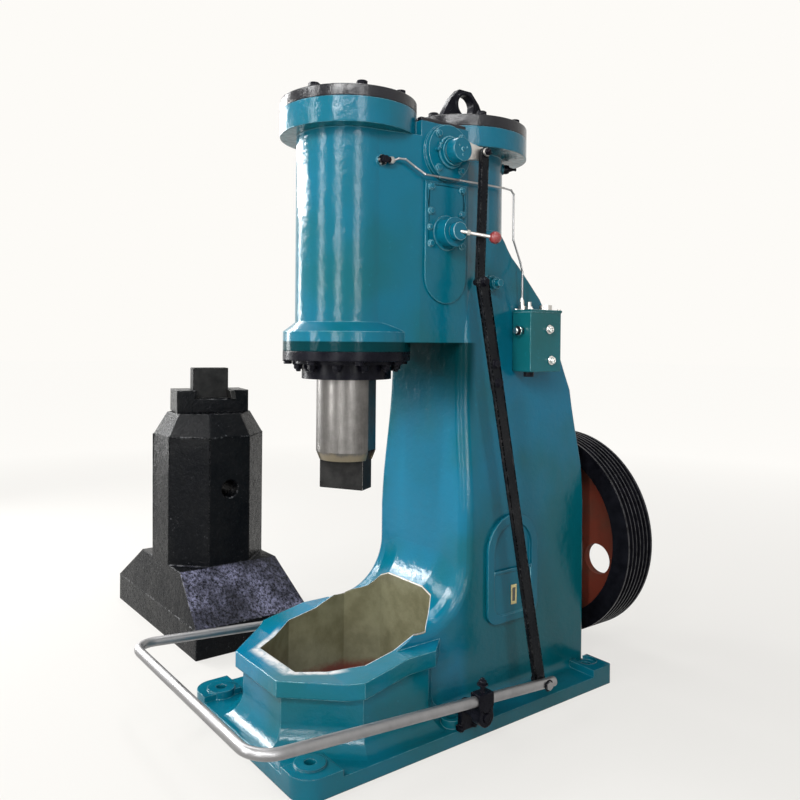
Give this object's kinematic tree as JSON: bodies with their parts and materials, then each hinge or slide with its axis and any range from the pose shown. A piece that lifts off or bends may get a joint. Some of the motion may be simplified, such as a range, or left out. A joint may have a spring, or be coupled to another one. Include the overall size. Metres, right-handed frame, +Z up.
{
  "type": "pneumatic forging hammer",
  "caption": "Two-piece air forging hammer: cast C frame with twin cylinders, sliding ram and die, foot treadle with link to the valve, flywheel, and its separate anvil.",
  "frame": {"origin": "centre of the four corner foundation bolt holes, on the floor", "axes": "+Z up, +Y to the back (flywheel), +X to the valve and linkage side"},
  "size_m": [1.828, 1.525, 1.935],
  "materials": {
    "teal_paint": "gloss enamel over a cast surface",
    "black_paint": "gloss black",
    "bright_steel": "turned and ground",
    "black_iron": "rough black paint on a sand casting",
    "die_steel": "dark forged steel",
    "red_knob": "gloss"
  },
  "bodies": {
    "frame": {"base_casting": "teal_paint", "column_casting": "teal_paint", "cylinder_block": "teal_paint", "front_cylinder_cover": "black_paint", "front_cover_plug": "black_paint", "rear_cylinder_cover": "black_paint", "lifting_eye": "black_paint", "valve_chest_cover": "black_paint", "gland_plate": "black_paint", "gland_ring": "black_paint", "upper_valve_flange": "teal_paint", "upper_valve_cap_left": "teal_paint", "valve_side_plate": "teal_paint", "valve_side_plate_left": "teal_paint", "lower_valve_ring": "teal_paint", "lower_valve_cap_left": "teal_paint", "pivot_bracket_right": "black_paint", "pivot_bracket_left": "black_paint", "lubricator": "teal_paint", "lubricator_fittings": "bright_steel", "lubricator_gauge": "black_paint", "oil_pipe_front": "bright_steel", "oil_pipe_riser": "bright_steel", "pipe_elbow": "black_paint", "grease_nipple": "black_paint", "side_plug": "teal_paint", "inspection_cover": "teal_paint", "inspection_cover_left": "teal_paint", "crank_bearing": "teal_paint", "anvil": "black_iron", "sow_block": "black_iron", "lower_die": "die_steel", "die_wedge": "die_steel"},
    "ram_and_die": {"ram": "bright_steel", "upper_die": "die_steel"},
    "treadle": {"treadle": "bright_steel", "treadle_clamp_right": "black_paint", "treadle_clamp_left": "black_paint"},
    "link": {"link_upper": "black_paint", "link_lower": "black_paint"},
    "valve_lever": {"upper_valve_lever": "bright_steel"},
    "hand_lever": {"hand_lever": "bright_steel", "hand_lever_knob": "red_knob"},
    "flywheel_and_shaft": {"flywheel": "black_paint", "crankshaft": "bright_steel"}
  },
  "joints": [
    {"name": "ram_slide", "type": "slide", "parent": "frame", "child": "ram_and_die", "axis": [0, 0, 1], "range_m": [0, 0.22]},
    {"name": "treadle_hinge", "type": "hinge", "parent": "frame", "child": "treadle", "pos_m": [0, -0.072, 0.098], "axis": [1, 0, 0], "range_deg": [0, 5], "stiffness_Nm_per_rad": 60, "springref_deg": -34.38},
    {"name": "link_pin", "type": "hinge", "parent": "treadle", "child": "link", "pos_m": [0.369, 0.178, 0.12018], "axis": [1, 0, 0], "range_deg": [-5.2, 0.2]},
    {"name": "valve_lever_turn", "type": "hinge", "parent": "frame", "child": "valve_lever", "pos_m": [0, -0.03414, 1.661], "axis": [1, 0, 0], "range_deg": [-0.5, 17]},
    {"name": "hand_lever_turn", "type": "hinge", "parent": "frame", "child": "hand_lever", "pos_m": [0, -0.03414, 1.427], "axis": [1, 0, 0], "range_deg": [-40, 30]},
    {"name": "flywheel_spin", "type": "hinge", "parent": "frame", "child": "flywheel_and_shaft", "pos_m": [0, 0.6, 0.428], "axis": [0, 1, 0], "continuous": true}
  ],
  "couplings": [
    {"joint": "valve_lever_turn", "follows": "treadle_hinge", "ratio": 3.1826},
    {"joint": "link_pin", "follows": "treadle_hinge", "ratio": -1.0009}
  ]
}
